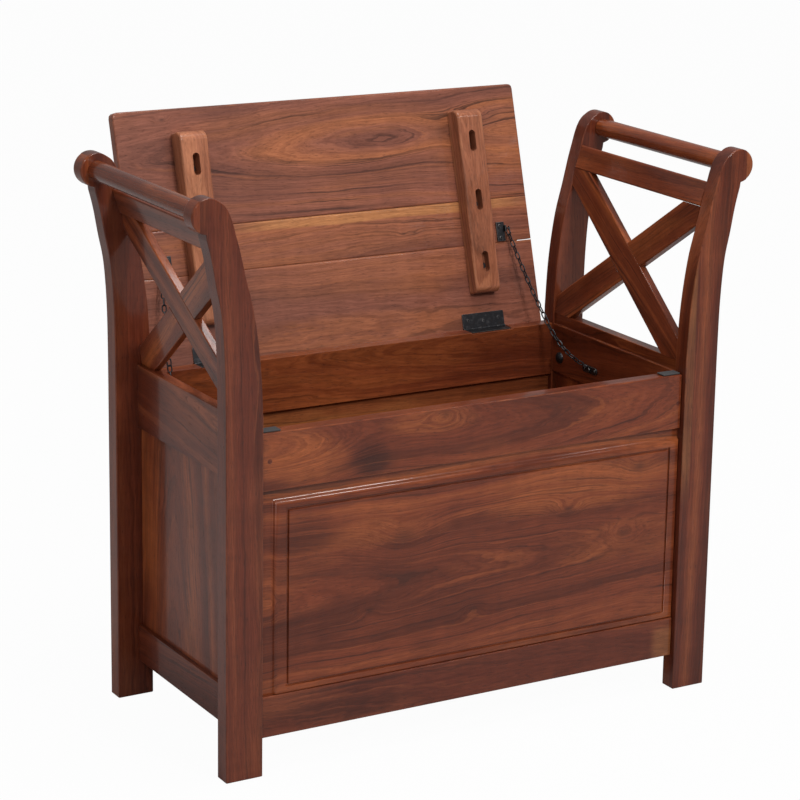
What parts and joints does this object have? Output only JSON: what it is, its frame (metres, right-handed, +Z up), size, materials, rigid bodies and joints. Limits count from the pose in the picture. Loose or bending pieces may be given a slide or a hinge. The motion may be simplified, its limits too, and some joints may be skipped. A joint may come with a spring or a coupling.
{
  "type": "settle bench",
  "caption": "Small hardwood settle bench with a storage box seat, a hinged lid stayed by chains, raised panels and curved arms with lapped diagonal braces.",
  "frame": {"origin": "on the floor, below the centre of the box around the whole bench with its lid open", "axes": "+Z up, +X to the right as seen from the front, +Y to the back, where the lid is hinged"},
  "size_m": [0.793, 0.447, 0.7466],
  "materials": {
    "leg_wood": "semi-gloss dark red-brown hardwood",
    "hardwood": "semi-gloss red-brown hardwood with dark and orange figure",
    "lid_wood": "satin rosy brown hardwood",
    "honey_wood": "semi-gloss orange-brown hardwood",
    "dark_metal": "charcoal blackened steel",
    "pad": "matt dark grey"
  },
  "bodies": {
    "frame": {"front_left_leg": "leg_wood", "front_left_scroll_block": "honey_wood", "front_right_leg": "leg_wood", "front_right_scroll_block": "honey_wood", "back_left_leg": "leg_wood", "back_left_scroll_block": "honey_wood", "back_right_leg": "leg_wood", "back_right_scroll_block": "honey_wood", "left_handrail": "honey_wood", "left_upper_rail": "hardwood", "left_falling_brace": "hardwood", "left_rising_brace": "hardwood", "left_seat_rail": "hardwood", "left_panel": "hardwood", "left_bottom_rail": "hardwood", "right_handrail": "honey_wood", "right_upper_rail": "hardwood", "right_falling_brace": "hardwood", "right_rising_brace": "hardwood", "right_seat_rail": "hardwood", "right_panel": "hardwood", "right_bottom_rail": "hardwood", "front_apron": "hardwood", "front_panel": "hardwood", "front_bottom_rail": "hardwood", "front_floor_cleat": "hardwood", "back_apron": "hardwood", "back_panel": "hardwood", "back_bottom_rail": "hardwood", "back_floor_cleat": "hardwood", "floor_board": "hardwood", "left_lid_pad": "pad", "left_rail_bolt": "dark_metal", "left_rail_chain_plate": "dark_metal", "left_hinge_frame_leaf": "dark_metal", "left_hinge_pin": "dark_metal", "right_lid_pad": "pad", "right_rail_bolt": "dark_metal", "right_rail_chain_plate": "dark_metal", "right_hinge_frame_leaf": "dark_metal", "right_hinge_pin": "dark_metal"},
    "lid": {"lid_rear_plank": "lid_wood", "lid_middle_plank": "lid_wood", "lid_front_plank": "lid_wood", "left_lid_batten": "honey_wood", "left_batten_screw_1": "dark_metal", "left_batten_screw_2": "dark_metal", "left_batten_screw_3": "dark_metal", "left_hinge_lid_leaf": "dark_metal", "left_lid_chain_plate": "dark_metal", "right_lid_batten": "honey_wood", "right_batten_screw_1": "dark_metal", "right_batten_screw_2": "dark_metal", "right_batten_screw_3": "dark_metal", "right_hinge_lid_leaf": "dark_metal", "right_lid_chain_plate": "dark_metal"},
    "left_chain_upper": {"left_chain_upper": "dark_metal"},
    "left_chain_lower": {"left_chain_lower": "dark_metal"},
    "right_chain_upper": {"right_chain_upper": "dark_metal"},
    "right_chain_lower": {"right_chain_lower": "dark_metal"}
  },
  "joints": [
    {"name": "lid_hinge", "type": "hinge", "parent": "frame", "child": "lid", "pos_m": [0, 0.11365, 0.42917], "axis": [1, 0, 0], "range_deg": [0, 106.1]},
    {"name": "left_chain_upper_swing", "type": "hinge", "parent": "lid", "child": "left_chain_upper", "pos_m": [-0.261, 0.14773, 0.55701], "axis": [1, 0, 0], "range_deg": [-21.5, 0]},
    {"name": "left_chain_lower_fold", "type": "hinge", "parent": "left_chain_upper", "child": "left_chain_lower", "pos_m": [-0.2836, 0.0791, 0.4418], "axis": [1, 0, 0], "range_deg": [-139.8, 0]},
    {"name": "right_chain_upper_swing", "type": "hinge", "parent": "lid", "child": "right_chain_upper", "pos_m": [0.261, 0.14773, 0.55701], "axis": [1, 0, 0], "range_deg": [-21.5, 0]},
    {"name": "right_chain_lower_fold", "type": "hinge", "parent": "right_chain_upper", "child": "right_chain_lower", "pos_m": [0.2836, 0.0791, 0.4418], "axis": [1, 0, 0], "range_deg": [-139.8, 0]}
  ],
  "couplings": [
    {"joint": "left_chain_upper_swing", "follows": "lid_hinge", "ratio": -0.198},
    {"joint": "left_chain_lower_fold", "follows": "lid_hinge", "ratio": -1.313},
    {"joint": "right_chain_upper_swing", "follows": "lid_hinge", "ratio": -0.198},
    {"joint": "right_chain_lower_fold", "follows": "lid_hinge", "ratio": -1.313}
  ]
}
